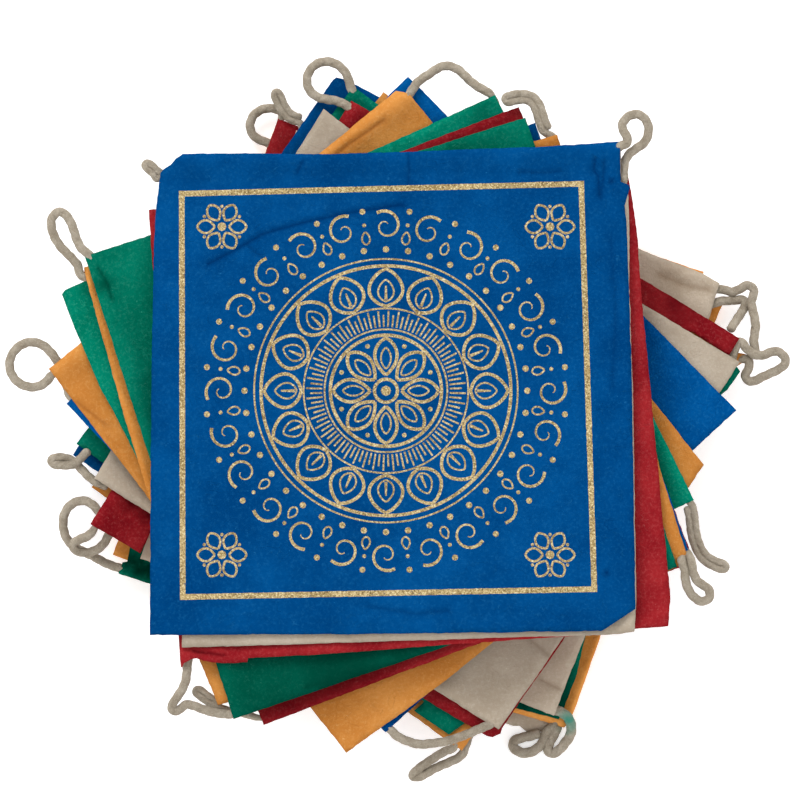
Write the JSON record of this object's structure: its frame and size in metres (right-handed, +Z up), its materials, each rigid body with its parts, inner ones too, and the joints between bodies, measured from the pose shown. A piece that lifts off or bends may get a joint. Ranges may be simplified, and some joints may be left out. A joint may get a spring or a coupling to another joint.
{
  "type": "fanned pile of prayer flags strung on a cord",
  "caption": "Pile of small square handmade-paper prayer flags, fanned round in a spiral and strung through their hems on one cotton cord that loops out between them.",
  "frame": {"origin": "centre of the flags' box at the surface they lie on", "axes": "+Z up through the pile, +Y towards the hemmed edge of the top flag"},
  "size_m": [0.2281, 0.2109, 0.0411],
  "materials": {
    "paper_blue": "matt fibrous handmade paper, dyed blue",
    "paper_white": "matt fibrous handmade paper, undyed off-white",
    "paper_red": "matt fibrous handmade paper, dyed red",
    "paper_green": "matt fibrous handmade paper, dyed green",
    "paper_orange": "matt fibrous handmade paper, dyed orange",
    "cotton_cord": "matt loosely laid natural cotton"
  },
  "bodies": {
    "root": {"flag_01_blue": "paper_blue", "flag_02_white": "paper_white", "flag_03_red": "paper_red", "flag_04_green": "paper_green", "flag_05_orange": "paper_orange", "flag_06_blue": "paper_blue", "flag_07_white": "paper_white", "flag_08_red": "paper_red", "flag_09_green": "paper_green", "flag_10_orange": "paper_orange", "flag_11_blue": "paper_blue", "flag_12_white": "paper_white", "flag_13_red": "paper_red", "flag_14_green": "paper_green", "flag_15_orange": "paper_orange", "flag_16_blue": "paper_blue", "flag_17_white": "paper_white", "flag_18_red": "paper_red", "flag_19_green": "paper_green", "flag_20_orange": "paper_orange", "flag_21_white": "paper_white", "cord_01_torn_corner": "cotton_cord", "cord_02_upper_right": "cotton_cord", "cord_03_lower_left": "cotton_cord", "cord_04_upper_left": "cotton_cord", "cord_05_top_hook": "cotton_cord", "cord_06_lower_right": "cotton_cord", "cord_07_lower_left_inner": "cotton_cord", "cord_08_right_knot": "cotton_cord", "cord_09_top_arc": "cotton_cord", "cord_10_left_ring": "cotton_cord", "cord_11_bottom_arc": "cotton_cord", "cord_12_left_branch": "cotton_cord", "cord_13_left_ring": "cotton_cord", "cord_14_left_strand": "cotton_cord", "cord_15_top_ring": "cotton_cord", "cord_16_right_loop": "cotton_cord", "cord_17_right_knot": "cotton_cord", "cord_18_right_inner": "cotton_cord", "cord_19_upper_left_ring": "cotton_cord", "cord_20_upper_left_bulb": "cotton_cord", "cord_21_bottom_narrow_loop": "cotton_cord", "cord_22_bottom_ring": "cotton_cord", "cord_23_bottom_loop": "cotton_cord"}
  },
  "joints": []
}
